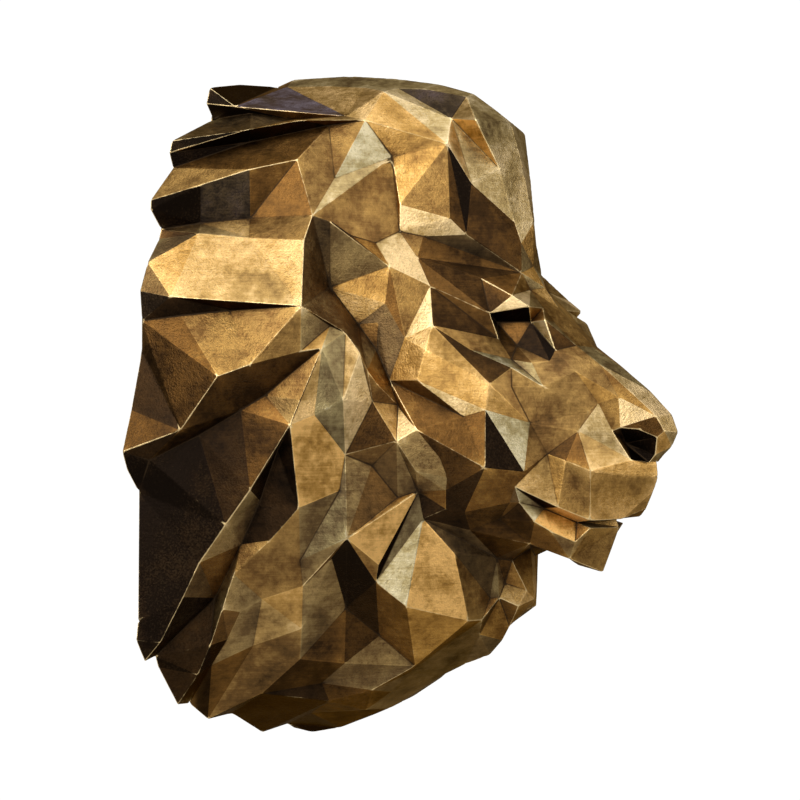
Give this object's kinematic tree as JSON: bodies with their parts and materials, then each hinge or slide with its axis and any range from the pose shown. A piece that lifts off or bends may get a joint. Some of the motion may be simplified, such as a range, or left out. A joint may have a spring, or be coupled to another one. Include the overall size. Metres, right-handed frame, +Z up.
{
  "type": "lion head wall mask",
  "caption": "Faceted cast lion head with a full mane and a flat back, made to be fixed to a wall.",
  "frame": {"origin": "middle of the flat back, where the mask is fixed to the wall", "axes": "+Z up, +Y into the wall, X across the face"},
  "size_m": [0.396, 0.278, 0.447],
  "materials": {
    "aged_brass": "cast brass-bronze, satin, with brown and black patina in the hollows and worn bright edges"
  },
  "bodies": {
    "root": {"lion_mask": "aged_brass"}
  },
  "joints": []
}
